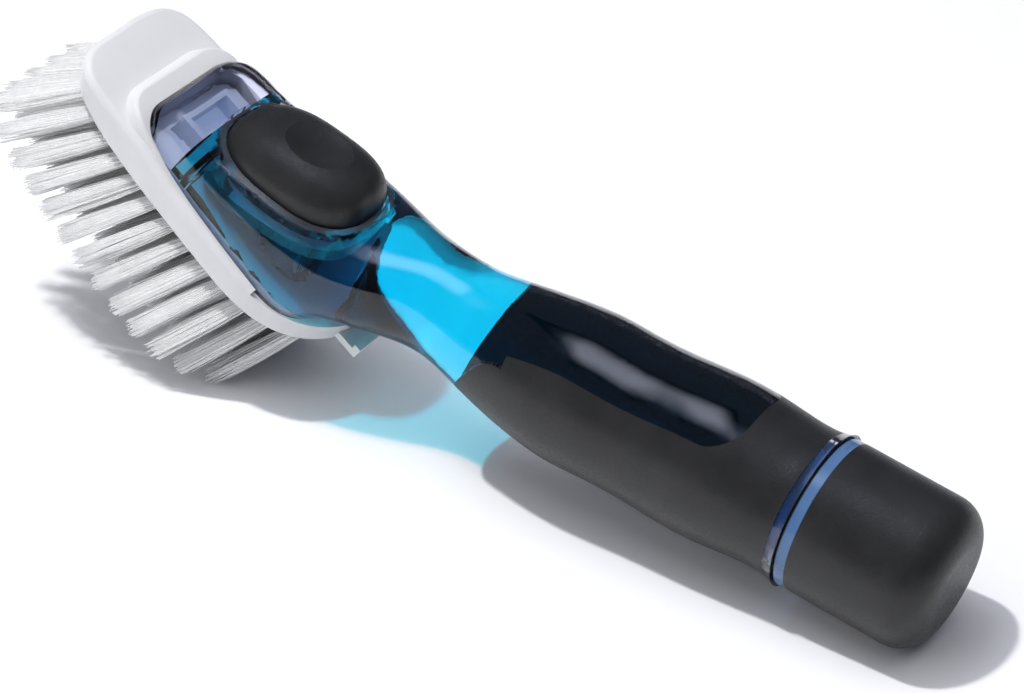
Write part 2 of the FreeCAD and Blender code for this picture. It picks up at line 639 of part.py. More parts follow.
def head_blank():
    """The brush head's outer form: drawn in below, with a flat nose, rim and raised collar."""
    standing = Part.makeLoft([head_plan(BASE_SHARES, -HEAD_DEPTH),
                              head_plan(PLAN_SHARES, PLAN_LEVEL_SHARE * HEAD_DEPTH)], True, True)
    below, sheet = under_profile(RIM_SHARES)
    plate = rounded_brim(standing.common(below), sheet, HEAD_ROUND)
    return plate.fuse(head_collar().common(standing)).removeSplitter()


def tuft_places():
    """Root places and lean of every tuft: along the head, across it, forward and sideways slope."""
    places = []
    outlet = outlet_setback()
    keep = SPOUT_RADIUS + SLIDE_FIT + OUTLET_MARGIN
    for row in range(TUFT_ROWS):
        share = row / (TUFT_ROWS - 1)
        u = ROW_FRONT + (HEAD_LENGTH - ROW_FRONT - ROW_REAR) * share
        half = head_half_width(u) - FIELD_MARGIN
        gaps = max(1, round(2 * half / TUFT_PITCH))
        lean = math.tan(math.radians(LEAN_REAR + (LEAN_FRONT - LEAN_REAR) * (1 - share) ** LEAN_FADE))
        for i in range(gaps + 1):
            y = -half + 2 * half * i / gaps
            splay = math.tan(math.radians(SPLAY_SIDE * 2 * y / HEAD_WIDTH))
            if math.hypot(u - outlet, y) > keep:
                places.append((u, y, lean, splay))
    return places


def tuft_ring(place, drop, radius):
    """The tuft's outline on a plane below the underside; a negative drop lies in the hole."""
    u, y, lean, splay = place
    middle = V(u - lean * drop, y + splay * drop, -HEAD_DEPTH - drop)
    points = []
    for i in range(TUFT_SIDES):
        turn = 2 * math.pi * (i + 0.5) / TUFT_SIDES
        points.append(middle + V(radius * math.cos(turn), radius * math.sin(turn), 0))
    return points


def tuft_drop(place):
    """Depth of the tips below the underside for the tuft's length along its lean."""
    return TUFT_LENGTH / math.sqrt(1 + place[2] ** 2 + place[3] ** 2)


def tuft_wire(place, drop, radius):
    points = tuft_ring(place, drop, radius)
    return Part.makePolygon(points + points[:1])


def bristle_tufts():
    """Separate tufts, slim in their holes and flared at the tips."""
    tufts = []
    for place in tuft_places():
        rings = [tuft_wire(place, -TUFT_DEPTH, TUFT_ROOT), tuft_wire(place, 0, TUFT_ROOT),
                 tuft_wire(place, tuft_drop(place), TUFT_TIP)]
        tufts.append(Part.makeLoft(rings, True, True))
    return Part.makeCompound(tufts)


def tuft_holes():
    """Round blind holes for the tufts and their anchors, leaning with them."""
    deep = TUFT_DEPTH + ANCHOR_HEIGHT + HOLE_GAP
    holes = []
    for u, y, lean, splay in tuft_places():
        way = V(-lean, splay, -1)
        start = V(u, y, -HEAD_DEPTH) - way * HEAD_DEPTH
        holes.append(Part.makeCylinder(TUFT_ROOT + HOLE_GAP, way.Length * (HEAD_DEPTH + deep), start, way))
    slab = block(-HEAD_LENGTH, HEAD_LENGTH + HEAD_LENGTH, HEAD_WIDTH, -HEAD_DEPTH - deep, deep - HEAD_DEPTH)
    return Part.makeCompound([hole.common(slab) for hole in holes])


def tuft_anchors():
    """Flat wire anchors that hold the tufts at the bottom of their holes."""
    foot = TUFT_DEPTH - HEAD_DEPTH
    anchors = []
    for u, y, lean, splay in tuft_places():
        root_u = u + lean * TUFT_DEPTH
        root_y = y - splay * TUFT_DEPTH
        half = TUFT_ROOT - ANCHOR_INSET
        anchors.append(Part.makeBox(ANCHOR_SKIN, half + half, ANCHOR_HEIGHT,
                                    V(root_u - ANCHOR_SKIN / 2, root_y - half, foot)))
    return Part.makeCompound(anchors)


def release_tab(room=0):
    """Springy tab at the rear of the head; with room it is the slot that it swings in."""
    start = HEAD_LENGTH - TAB_ROOT
    swing = room * (1 + TAB_ROOT * math.tan(math.radians(TAB_SWING)) / SLIDE_FIT)
    end = HEAD_LENGTH + TAB_LENGTH
    top = -TAB_DROP
    plate = block(start - room, end, TAB_WIDTH / 2 + room, top - TAB_SKIN - swing, top + room)
    ledge = block(end - TAB_SKIN, end, TAB_WIDTH / 2, top, top + TAB_LEDGE)
    return plate.fuse(ledge).removeSplitter()


def brush_head_frame():
    """White moulded head: scraper nose, collar and rim round the clear base, holes for the tufts."""
    room = SLIDE_FIT + DRAW_ROOM
    clear = at(clear_outline(body_loft(-room), room), HEAD.inverse())
    seats = [face for face in clear.Faces if face.BoundBox.ZMax < SEAT_GAP - SEAT_DEPTH]
    seat = max(seats, key=lambda face: face.Area)
    frame = head_blank().cut(seat.extrude(V(0, 0, HEAD_DEPTH)))
    frame = frame.cut(block(NOTCH_SETBACK, HEAD_LENGTH + OVERRUN, HEAD_WIDTH, -NOTCH_DEPTH, OVERRUN))
    frame = frame.cut(rod(SPOUT_RADIUS + SLIDE_FIT, -HEAD_DEPTH - OVERRUN, OVERRUN, outlet_setback()))
    return frame.cut(release_tab(SLIDE_FIT)).cut(tuft_holes())


def resting_place(tip_points):
    """Lay the wand on its bristle tips and its cap, and centre it over the ground point."""
    end = CAP_LENGTH - CAP_ROUND
    rim = CAP_RADIUS - CAP_ROUND

    def low_tip(pitch):
        return min(p.z * math.cos(pitch) - p.x * math.sin(pitch) for p in tip_points)

    def low_cap(pitch):
        return -(end * math.sin(pitch) + rim * math.cos(pitch) + CAP_ROUND)

    lower, upper = 0.0, math.pi / 6
    for _ in range(60):
        pitch = (lower + upper) / 2
        if low_tip(pitch) < low_cap(pitch):
            lower = pitch
        else:
            upper = pitch
    front = min(p.x * math.cos(pitch) + p.z * math.sin(pitch) for p in tip_points)
    tail = end * math.cos(pitch) + rim * math.sin(pitch) + CAP_ROUND
    turn = Rotation(V(0, 1, 0), math.degrees(pitch))
    return Placement(V(-(front + tail) / 2, 0, -low_cap(pitch)), turn)


def tip_points():
    points = []
    for place in tuft_places():
        for point in tuft_ring(place, tuft_drop(place), TUFT_TIP):
            points.append(HEAD.multVec(point))
    return points


def build():
    """Every node in the wand frame."""
    form = body_loft()
    outside = clear_outline(form, 0, SEAT_GAP)
    inside = clear_inside()
    floor = above_seat(SEAT_GAP + PLATE_SKIN)
    sleeve = grip_sleeve(form)
    return {
        "reservoir_shell": reservoir_shell(outside, inside, sleeve),
        "grip_sleeve": sleeve,
        "base_plate": base_plate(inside),
        "pump_housing": pump_housing(form, floor),
        "inlet_valve": at(inlet_valve(), BUTTON),
        "outlet_valve": outlet_valve(),
        "valve_retainer": valve_retainer(),
        "return_spring": at(return_spring(), BUTTON),
        "thumb_button": at(thumb_button(), BUTTON),
        "button_core": at(button_core(), BUTTON),
        "plunger": at(plunger(), BUTTON),
        "piston_seal": at(piston_seal(), BUTTON),
        "brush_head_frame": at(brush_head_frame(), HEAD),
        "bristle_tufts": at(bristle_tufts(), HEAD),
        "tuft_anchors": at(tuft_anchors(), HEAD),
        "release_tab": at(release_tab(), HEAD),
        "cap_core": cap_core(),
        "cap_cover": cap_cover(),
        "cap_seal": cap_seal(),
    }


def main():
    os.makedirs("parts", exist_ok=True)
    ground = resting_place(tip_points())
    for name, shape in build().items():
        at(shape, ground).exportStep("parts/%s.step" % name)


if __name__ == "__main__":
    main()
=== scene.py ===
"""A dish wand lying on a white table: clear soap-filled handle, black grip, button and cap, white brush."""
import json
import math
import random

import bmesh
import bpy
from mathutils import Matrix, Vector
from mathutils.bvhtree import BVHTree


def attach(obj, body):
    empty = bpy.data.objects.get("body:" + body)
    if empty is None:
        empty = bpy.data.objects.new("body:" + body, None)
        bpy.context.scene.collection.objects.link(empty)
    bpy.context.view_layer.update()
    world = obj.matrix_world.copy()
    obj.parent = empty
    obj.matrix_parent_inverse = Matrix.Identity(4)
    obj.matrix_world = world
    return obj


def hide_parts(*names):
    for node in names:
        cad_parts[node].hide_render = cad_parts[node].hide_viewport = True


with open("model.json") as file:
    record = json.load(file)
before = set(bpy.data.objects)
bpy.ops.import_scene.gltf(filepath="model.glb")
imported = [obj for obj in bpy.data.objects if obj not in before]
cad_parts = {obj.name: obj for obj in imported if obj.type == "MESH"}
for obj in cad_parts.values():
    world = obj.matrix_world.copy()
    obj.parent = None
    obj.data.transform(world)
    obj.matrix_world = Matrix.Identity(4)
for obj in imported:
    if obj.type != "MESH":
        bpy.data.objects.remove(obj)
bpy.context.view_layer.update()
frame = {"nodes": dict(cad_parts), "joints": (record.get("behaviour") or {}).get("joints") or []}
MM = 0.001

# Camera, as it stands in the photograph round a wand tipped by PHOTO_PITCH, tail down
PHOTO_PITCH = 11.41
CAMERA_AZIMUTH = 33.37
CAMERA_ELEVATION = 33.15
CAMERA_DISTANCE = 945.0 * MM
CAMERA_AIM = Vector((-101.96, 20.37, 0.0)) * MM    # from the middle of the cap's seam
CAMERA_NEAR = 0.01
CAMERA_FAR = 50.0
FOCAL_PIXELS = 3646.9
IMAGE_WIDTH = 1024
SENSOR_WIDTH = 36.0

# Light; each direction leads from the seam to the lamp
KEY_DIRECTION = Vector((-0.316, -0.150, 0.937))
KEY_DISTANCE = 1150 * MM
KEY_RADIUS = 30 * MM
KEY_POWER = 30.0
FILL_DIRECTION = Vector((0, 0, 1))
FILL_DISTANCE = 1500 * MM
FILL_SIZE = 2000 * MM
FILL_POWER = 12.5
FRONT_DIRECTION = Vector((-0.50, -0.75, 0.45))
FRONT_DISTANCE = 1200 * MM
FRONT_SIZE = 900 * MM
FRONT_POWER = 3.4
SOFTBOX_DIRECTION = Vector((-0.25, -0.06, 0.96))
SOFTBOX_DISTANCE = 900 * MM
SOFTBOX_SIZE = (700 * MM, 420 * MM)
SOFTBOX_BRIGHT_SHARES = (0.4, 0.6)    # of its width and depth, between which it glows fully
SOFTBOX_GLOW = 4.0
SOFTBOX_COLOUR = (0.78, 0.82, 1.0, 1.0)
SKY_TOP = (0.13, 0.14, 0.20, 1.0)
SKY_HORIZON = (0.06, 0.06, 0.08, 1.0)
FLOOR_SIZE = 6000 * MM
FLOOR_COLOUR = (0.97, 0.97, 0.97, 1.0)

# Materials; noise scales are counted per metre
NOISE_ROUGHNESS = 0.55
NOISE_STOPS = (0.3, 0.7)         # noise below the first gives the first look, above the second the other
RUBBER_IOR = 1.47
RUBBER_ROUGHNESS = (0.34, 0.52)
RUBBER_GLOSS_STOPS = (0.25, 0.75)
RUBBER_DRIFT_SCALE = 90.0
RUBBER_GRAIN_SCALE = 1400.0
RUBBER_GRAIN_DEPTH = 0.06 * MM
BUTTON_GRAIN_SCALE = 1100.0
BUTTON_GRAIN_STRENGTH = 1.2
PLASTIC_IOR = 1.5
PLASTIC_DRIFT_SCALE = 60.0
PLASTIC_GRAIN_SCALE = 500.0
PLASTIC_GRAIN_STRENGTH = 0.06
PLASTIC_GRAIN_DEPTH = 0.1 * MM
PLASTIC_GLOW_DEPTH = 1.2 * MM    # how far light wanders inside
GLOSS_SHARES = (0.85, 1.15)      # of the stated roughness, as the grain goes up and down
CLEAR_IOR = 1.49
CLEAR_ROUGHNESS = 0.02
CLEAR_WAVE_SCALE = 120.0
CLEAR_WAVE_STRENGTH = 0.008
CLEAR_WAVE_DEPTH = 0.2 * MM
CLEAR_DRIFT_SHARE = 1.03         # of the tint, where it is palest
INNER_WETTING_SHARE = 0.75       # of the inner walls' mirroring, which the soap takes away
SOAP_IOR = 1.36
SOAP_TINTS = ((0.93, 0.99, 1.0, 1.0), (0.97, 1.0, 1.0, 1.0))
SOAP_STOPS = (0.35, 0.7)
SOAP_WAVE_SCALE = 70.0
SOAP_PASS_TINT = (0.74, 0.92, 0.93, 1.0)
SOAP_DEPTH_TINT = (0.0, 0.945, 0.985, 1.0)
SOAP_DENSITY = 250.0
NYLON_IOR = 1.53
NYLON_GREYS = (0.80, 0.87)
NYLON_ROUGHNESS = (0.36, 0.5)
NYLON_DRIFT_SCALE = 700.0
NYLON_THROUGH_SHARE = 0.35       # of its light, which goes through a filament
NYLON_PASS_SHARE = 0.95          # of the lamplight, which a filament lets by
STEEL_TINTS = ((0.55, 0.55, 0.57, 1.0), (0.68, 0.68, 0.70, 1.0))
STEEL_ROUGHNESS = (0.22, 0.36)
STEEL_DRIFT_SCALE = 900.0

# Bristles
FILAMENTS = 100               # in one tuft
FILAMENT_SEED = 7
FILAMENT_RADIUS = 0.21 * MM
FILAMENT_SIDES = 4
FILAMENT_RINGS = 6
FILAMENT_TIP_SHARE = 0.55     # of the radius, left at the very tip
FILAMENT_STRAY_SHARE = 0.08   # of the tuft's radius, by which its tip strays
FILAMENT_SPREAD_SHARE = 0.92  # of the tuft's tip radius that the tips fill
FILAMENT_SHORT_SHARE = 0.05   # of the length, by which the shortest filaments fall short
FILAMENT_BOW_SHARE = 0.016    # of the length, by which a filament bends
BOW_INWARD_SHARE = -0.6       # of the full bow, the most that one bends inwards
BOW_SIDE_SHARE = 0.4          # of the full bow, by which it strays sideways
TUFT_END_REACH = 0.05 * MM    # depth within which corners belong to a tuft's end
MERGE_REACH = 0.002 * MM      # corners closer than this are one
SORTING_DIGITS = 5            # of the tufts' places in metres, by which they are put in order

# Soap
SOAP_STEP = 1.5 * MM
SOAP_RAYS = 96
SOAP_PRESS = 0.12 * MM        # how far the soap's skin reaches into the clear wall
SOAP_CLEARANCE = 0.4 * MM     # between the last ring of rays and the front wall
SOAP_EDGE_ANGLE = 40.0        # in degrees; sharper edges stay crisp
SIDE_SIGHT = 30 * MM          # how far a ring's rays look for the wall
FRONT_SIGHT = 40 * MM         # how far the spine's end looks for the front wall
# A line inside the soap: place along the handle, height, and share of the head's slope that its rings take
SOAP_SPINE = [(-13, 0.0, 0.0), (-40, -1.0, 0.0), (-70, -2.2, 0.0), (-95, -1.5, 0.0), (-115, 0.0, 0.0),
              (-130, 0.0, 0.0), (-150, -1.0, 0.5), (-165, 3.2, 0.9), (-174, 7.0, 1.0)]
WELL_MIDDLE = (-157.5, 16.6)  # of the button's well, along the handle and in height
PUMP_SETBACK = 5.0 * MM       # pump axis behind the middle of the well
PUMP_REACH = 8.7 * MM         # just past the pump's outer radius
PLUG_OVERLAP = 1.0 * MM       # how far the barrel's plug runs past both its ends
WELL_HEADROOM = 15.0 * MM     # how far the well's plug is drawn up, out of the shell

joints = {joint["name"]: joint for joint in frame["joints"]}
seam = Vector(joints["cap_turn"]["pos_m"])
along = Vector(joints["cap_turn"]["axis"]).normalized()
across = Vector((0, 1, 0))
lift = along.cross(across).normalized()
head_down = Vector(joints["head_release"]["axis"]).normalized()
press = Vector(joints["button_press"]["axis"]).normalized()
pitch = math.asin(-along.z)


def wand_point(x, z):
    """A place in the wand's middle plane, in millimetres along the handle from the seam and in height."""
    return seam + along * (x * MM) + lift * (z * MM)


def put(name, data):
    """A new object in the scene."""
    made = bpy.data.objects.new(name, data)
    bpy.context.scene.collection.objects.link(made)
    return made


# Shader helpers

def new_material(name):
    material = bpy.data.materials.new(name)
    material.use_nodes = True
    tree = material.node_tree
    tree.nodes.clear()
    out = tree.nodes.new("ShaderNodeOutputMaterial")
    return material, tree, out


def add(tree, kind, **values):
    """A node of that kind, with its input sockets or its settings set."""
    made = tree.nodes.new(kind)
    for key, value in values.items():
        socket = key.replace("_", " ")
        if socket in made.inputs:
            made.inputs[socket].default_value = value
        else:
            setattr(made, key, value)
    return made


def join(tree, source, output, target, socket):
    tree.links.new(source.outputs[output], target.inputs[socket])


def noise_of(tree, scale, detail=3.0):
    """Noise in metres of the object's own frame."""
    place = add(tree, "ShaderNodeTexCoord")
    noise = add(tree, "ShaderNodeTexNoise", Scale=scale, Detail=detail, Roughness=NOISE_ROUGHNESS)
    join(tree, place, "Object", noise, "Vector")
    return noise


def ramp_of(tree, source, output, colours, stops):
    """A run from one colour to the other between two stops of a source."""
    ramp = add(tree, "ShaderNodeValToRGB")
    for element, colour, position in zip(ramp.color_ramp.elements, colours, stops):
        element.position = position
        element.color = colour
    join(tree, source, output, ramp, "Fac")
    return ramp


def vary(tree, noise, shader, socket, colours, stops=NOISE_STOPS):
    """Let noise move one value of a shader from the first colour to the second."""
    ramp = ramp_of(tree, noise, "Fac", colours, stops)
    join(tree, ramp, "Color", shader, socket)
    return ramp


def roughen(tree, noise, strength, distance, shader):
    """Let noise raise a bump on a shader's surface."""
    bump = add(tree, "ShaderNodeBump", Strength=strength, Distance=distance)
    join(tree, noise, "Fac", bump, "Height")
    join(tree, bump, "Normal", shader, "Normal")


def product_of(tree, first, second):
    """A socket multiplied by a number or by another socket."""
    both = add(tree, "ShaderNodeMath", operation="MULTIPLY")
    tree.links.new(first, both.inputs[0])
    if isinstance(second, float):
        both.inputs[1].default_value = second
    else:
        tree.links.new(second, both.inputs[1])
    return both.outputs[0]


def blend(tree, first, second, share):
    """A mix of two shaders; the second one's share is a number or a socket."""
    mix = add(tree, "ShaderNodeMixShader")
    if isinstance(share, float):
        mix.inputs["Fac"].default_value = share
    else:
        tree.links.new(share, mix.inputs["Fac"])
    tree.links.new(first.outputs[0], mix.inputs[1])
    tree.links.new(second.outputs[0], mix.inputs[2])
    return mix


def let_light_by(tree, surface, tint):
    """The surface, through which lamplight on its way elsewhere goes straight and takes on the tint."""
    path = add(tree, "ShaderNodeLightPath")
    clear = add(tree, "ShaderNodeBsdfTransparent", Color=tint)
    return blend(tree, surface, clear, path.outputs["Is Shadow Ray"])


def grey(value):
    return (value, value, value, 1.0)


def greys(values):
    return [grey(value) for value in values]


# Materials

def soft_rubber(name, dark, light, grain=RUBBER_GRAIN_SCALE, strength=1.0):
    """Matte black rubber with a fine moulded grain."""
    material, tree, out = new_material(name)
    shader = add(tree, "ShaderNodeBsdfPrincipled", IOR=RUBBER_IOR)
    fine = noise_of(tree, grain, 2.0)
    broad = noise_of(tree, RUBBER_DRIFT_SCALE)
    vary(tree, broad, shader, "Base Color", greys((dark, light)))
    vary(tree, fine, shader, "Roughness", greys(RUBBER_ROUGHNESS), RUBBER_GLOSS_STOPS)
    roughen(tree, fine, strength, RUBBER_GRAIN_DEPTH, shader)
    join(tree, shader, "BSDF", out, "Surface")
    return material


def moulded(name, dark, light, roughness, translucence=0.0):
    """Moulded plastic with faint colour drift and a satin surface."""
    material, tree, out = new_material(name)
    shader = add(tree, "ShaderNodeBsdfPrincipled", IOR=PLASTIC_IOR)
    if translucence:
        shader.inputs["Subsurface Weight"].default_value = translucence
        shader.inputs["Subsurface Radius"].default_value = (1.0, 1.0, 1.0)
        shader.inputs["Subsurface Scale"].default_value = PLASTIC_GLOW_DEPTH
    broad = noise_of(tree, PLASTIC_DRIFT_SCALE)
    fine = noise_of(tree, PLASTIC_GRAIN_SCALE, 2.0)
    vary(tree, broad, shader, "Base Color", (dark, light))
    vary(tree, fine, shader, "Roughness", greys(roughness * share for share in GLOSS_SHARES))
    roughen(tree, fine, PLASTIC_GRAIN_STRENGTH, PLASTIC_GRAIN_DEPTH, shader)
    join(tree, shader, "BSDF", out, "Surface")
    return material


def clear_plastic(name, tint, pass_tint, milk=0.0):
    """Clear moulded plastic, milky by a share, whose inner walls the soap wets."""
    material, tree, out = new_material(name)
    shader = add(tree, "ShaderNodeBsdfPrincipled", IOR=CLEAR_IOR, Roughness=CLEAR_ROUGHNESS,
                 Transmission_Weight=1.0 - milk)
    wave = noise_of(tree, CLEAR_WAVE_SCALE, 1.0)
    pale = tuple(min(1.0, c * CLEAR_DRIFT_SHARE) for c in tint)
    colour = vary(tree, wave, shader, "Base Color", (tint, pale))
    roughen(tree, wave, CLEAR_WAVE_STRENGTH, CLEAR_WAVE_DEPTH, shader)
    wetted = add(tree, "ShaderNodeBsdfRefraction", IOR=CLEAR_IOR, Roughness=0.0)
    join(tree, colour, "Color", wetted, "Color")
    side = add(tree, "ShaderNodeNewGeometry")
    wet = product_of(tree, side.outputs["Backfacing"], INNER_WETTING_SHARE * (1.0 - milk))
    body = blend(tree, shader, wetted, wet)
    join(tree, let_light_by(tree, body, pass_tint), "Shader", out, "Surface")
    return material


def liquid_soap(name):
    """Cyan dish soap: a clear liquid that swallows red light over its depth."""
    material, tree, out = new_material(name)
    shader = add(tree, "ShaderNodeBsdfRefraction", IOR=SOAP_IOR, Roughness=0.0)
    wave = noise_of(tree, SOAP_WAVE_SCALE, 2.0)
    vary(tree, wave, shader, "Color", SOAP_TINTS, SOAP_STOPS)
    join(tree, let_light_by(tree, shader, SOAP_PASS_TINT), "Shader", out, "Surface")
    depth = add(tree, "ShaderNodeVolumeAbsorption", Color=SOAP_DEPTH_TINT, Density=SOAP_DENSITY)
    join(tree, depth, "Volume", out, "Volume")
    return material


def nylon(name):
    """White translucent nylon: part of the light goes through every filament."""
    material, tree, out = new_material(name)
    shader = add(tree, "ShaderNodeBsdfPrincipled", IOR=NYLON_IOR)
    fine = noise_of(tree, NYLON_DRIFT_SCALE, 2.0)
    colour = vary(tree, fine, shader, "Base Color", greys(NYLON_GREYS))
    vary(tree, fine, shader, "Roughness", greys(NYLON_ROUGHNESS))
    through = add(tree, "ShaderNodeBsdfTranslucent")
    join(tree, colour, "Color", through, "Color")
    body = blend(tree, shader, through, NYLON_THROUGH_SHARE)
    join(tree, let_light_by(tree, body, grey(NYLON_PASS_SHARE)), "Shader", out, "Surface")
    return material


def steel(name):
    material, tree, out = new_material(name)
    shader = add(tree, "ShaderNodeBsdfPrincipled", Metallic=1.0)
    fine = noise_of(tree, STEEL_DRIFT_SCALE)
    vary(tree, fine, shader, "Base Color", STEEL_TINTS)
    vary(tree, fine, shader, "Roughness", greys(STEEL_ROUGHNESS))
    join(tree, shader, "BSDF", out, "Surface")
    return material


def give(material, *nodes):
    """Dress CAD nodes in one material."""
    for node in nodes:
        target = frame["nodes"][node]
        target.data.materials.clear()
        target.data.materials.append(material)
        for face in target.data.polygons:
            face.material_index = 0


def dress():
    """Materials of the CAD nodes."""
    give(clear_plastic("clear_shell", tint=(0.89, 0.895, 0.975, 1.0), pass_tint=(0.92, 0.93, 0.94, 1.0)),
         "reservoir_shell")
    give(clear_plastic("clear_inner", tint=(0.80, 0.84, 0.95, 1.0), pass_tint=(0.85, 0.87, 0.92, 1.0),
                       milk=0.04), "pump_housing")
    # Partly painted shade: the clear base plate is drawn milky and a darker blue-grey, so that the soap over
    # it looks as dark as the shade inside the closed head makes it.
    give(clear_plastic("plate_milk_and_painted_shade", tint=(0.55, 0.62, 0.76, 1.0), pass_tint=(0.70, 0.74, 0.80, 1.0),
                       milk=0.70), "base_plate")
    give(clear_plastic("clear_cap", tint=(0.22, 0.42, 0.78, 1.0), pass_tint=(0.70, 0.78, 0.88, 1.0),
                       milk=0.35), "cap_core")
    give(soft_rubber("black_rubber", dark=0.014, light=0.021), "grip_sleeve")
    give(soft_rubber("button_rubber", dark=0.014, light=0.022, grain=BUTTON_GRAIN_SCALE,
                     strength=BUTTON_GRAIN_STRENGTH), "thumb_button")
    give(soft_rubber("cap_rubber", dark=0.016, light=0.024), "cap_cover")
    give(moulded("white_plastic", dark=(0.67, 0.67, 0.67, 1.0), light=(0.71, 0.71, 0.708, 1.0),
                 roughness=0.34, translucence=0.05),
         "brush_head_frame", "release_tab", "plunger", "valve_retainer")
    give(moulded("dark_core", dark=grey(0.02), light=grey(0.03), roughness=0.4), "button_core")
    give(moulded("silicone", dark=(0.55, 0.57, 0.60, 1.0), light=(0.62, 0.64, 0.66, 1.0),
                 roughness=0.4, translucence=0.3), "inlet_valve", "outlet_valve")
    give(steel("spring_steel"), "return_spring", "tuft_anchors")
    give(moulded("seal_rubber", dark=grey(0.015), light=grey(0.02), roughness=0.5), "piston_seal", "cap_seal")


def new_piece(name, vertices, faces, material, body):
    mesh = bpy.data.meshes.new(name)
    mesh.from_pydata(vertices, [], faces)
    mesh.update()
    mesh.materials.append(material)
    for face in mesh.polygons:
        face.use_smooth = True
    piece = put(name, mesh)
    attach(piece, body)
    return piece


def tube_faces(rings, sides):
    """Faces of a closed tube whose corners are counted ring by ring."""
    faces = []
    for ring in range(rings - 1):
        for corner in range(sides):
            a = ring * sides + corner
            b = ring * sides + (corner + 1) % sides
            faces.append((a, b, b + sides, a + sides))
    top = (rings - 1) * sides
    faces.append(tuple(range(top, top + sides)))
    faces.append(tuple(reversed(range(sides))))
    return faces


# Bristles

def islands(mesh_object):
    """Corner points of each separate solid of a CAD node."""
    working = bmesh.new()
    working.from_mesh(mesh_object.data)
    bmesh.ops.remove_doubles(working, verts=working.verts, dist=MERGE_REACH)
    seen = set()
    groups = []
    for start in working.verts:
        if start in seen:
            continue
        stack = [start]
        seen.add(start)
        group = []
        while stack:
            vertex = stack.pop()
            group.append(vertex.co.copy())
            for edge in vertex.link_edges:
                other = edge.other_vert(vertex)
                if other not in seen:
                    seen.add(other)
                    stack.append(other)
        groups.append(group)
    working.free()
    return groups


def tuft_axes():
    """Root middle, tip middle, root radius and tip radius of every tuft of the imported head."""
    tufts = []
    for points in islands(frame["nodes"]["bristle_tufts"]):
        depth = [point.dot(head_down) for point in points]
        low, high = min(depth), max(depth)
        roots = [p for p, d in zip(points, depth) if d < low + TUFT_END_REACH]
        tips = [p for p, d in zip(points, depth) if d > high - TUFT_END_REACH]
        root = sum(roots, Vector()) / len(roots)
        tip = sum(tips, Vector()) / len(tips)
        tufts.append((root, tip, (roots[0] - root).length, (tips[0] - tip).length))
    tufts.sort(key=lambda tuft: tuple(round(c, SORTING_DIGITS) for c in tuft[0]))
    return tufts


def filament(draw, tuft, side, other):
    """Corner points of one bowed filament, drawn at random within its tuft."""
    root, tip, root_radius, tip_radius = tuft
    turn = draw.uniform(0, 2 * math.pi)
    spread = math.sqrt(draw.random())
    foot = side * math.cos(turn) + other * math.sin(turn)
    stray = (side * draw.gauss(0, 1) + other * draw.gauss(0, 1)) * (FILAMENT_STRAY_SHARE * tip_radius)
    start = root + foot * (spread * (root_radius - FILAMENT_RADIUS))
    end = tip + foot * (spread * tip_radius * FILAMENT_SPREAD_SHARE) + stray
    end = start + (end - start) * (1 - FILAMENT_SHORT_SHARE * draw.random() ** 2)
    bow = foot * draw.uniform(BOW_INWARD_SHARE, 1) + side * draw.gauss(0, BOW_SIDE_SHARE)
    bow = bow * (FILAMENT_BOW_SHARE * (tip - root).length)
    corners = []
    for ring in range(FILAMENT_RINGS):
        share = ring / (FILAMENT_RINGS - 1)
        middle = start.lerp(end, share) + bow * (4 * share * (1 - share))
        radius = FILAMENT_RADIUS * (1.0 if ring < FILAMENT_RINGS - 1 else FILAMENT_TIP_SHARE)
        for corner in range(FILAMENT_SIDES):
            angle = 2 * math.pi * corner / FILAMENT_SIDES
            corners.append(middle + (side * math.cos(angle) + other * math.sin(angle)) * radius)
    return corners


def bristles(material):
    """Every tuft as a bundle of bowed nylon filaments of slightly uneven length."""
    draw = random.Random(FILAMENT_SEED)
    one = tube_faces(FILAMENT_RINGS, FILAMENT_SIDES)
    vertices = []
    faces = []
    for tuft in tuft_axes():
        axis = (tuft[1] - tuft[0]).normalized()
        side = axis.orthogonal().normalized()
        other = axis.cross(side)
        for _ in range(FILAMENTS):
            first = len(vertices)
            vertices.extend(filament(draw, tuft, side, other))
            faces.extend(tuple(first + i for i in face) for face in one)
    piece = new_piece("bristles", vertices, faces, material, "brush_head")
    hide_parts("bristle_tufts")


# Soap

def joined_tree(names):
    """One ray-casting tree over several CAD nodes."""
    vertices = []
    faces = []
    for name in names:
        mesh = frame["nodes"][name].data
        first = len(vertices)
        vertices.extend(vertex.co.copy() for vertex in mesh.vertices)
        faces.extend(tuple(first + i for i in face.vertices) for face in mesh.polygons)
    return BVHTree.FromPolygons(vertices, faces)


def soap_stations(walls):
    """Middle and upward way of each of the soap's rings, tail first, and the way to the front wall."""
    slope = lift.angle(-head_down)
    stations = []
    for (x0, z0, s0), (x1, z1, s1) in zip(SOAP_SPINE, SOAP_SPINE[1:]):
        steps = max(1, round((x0 - x1) * MM / SOAP_STEP))
        for i in range(steps):
            share = i / steps
            tilt = (s0 + (s1 - s0) * share) * slope
            middle = wand_point(x0 + (x1 - x0) * share, z0 + (z1 - z0) * share)
            stations.append((middle, lift * math.cos(tilt) + along * math.sin(tilt)))
    start = wand_point(*SOAP_SPINE[-1][:2])
    forward = lift * math.sin(slope) - along * math.cos(slope)
    gap = walls.ray_cast(start, forward, FRONT_SIGHT)[3] - SOAP_CLEARANCE
    steps = max(1, round(gap / SOAP_STEP))
    for i in range(steps + 1):
        stations.append((start + forward * (gap * i / steps), -head_down))
    return stations, forward


def fill_gaps(reach):
    """Bridge the rays that left through the button's well with their neighbours' reach."""
    known = [k for k, r in enumerate(reach) if r > 0]
    filled = list(reach)
    for k, r in enumerate(reach):
        if r > 0:
            continue
        before = max((j for j in known if j < k), default=known[-1] - len(reach))
        after = min((j for j in known if j > k), default=known[0] + len(reach))
        share = (k - before) / (after - before)
        filled[k] = reach[before % len(reach)] * (1 - share) + reach[after % len(reach)] * share
    return filled


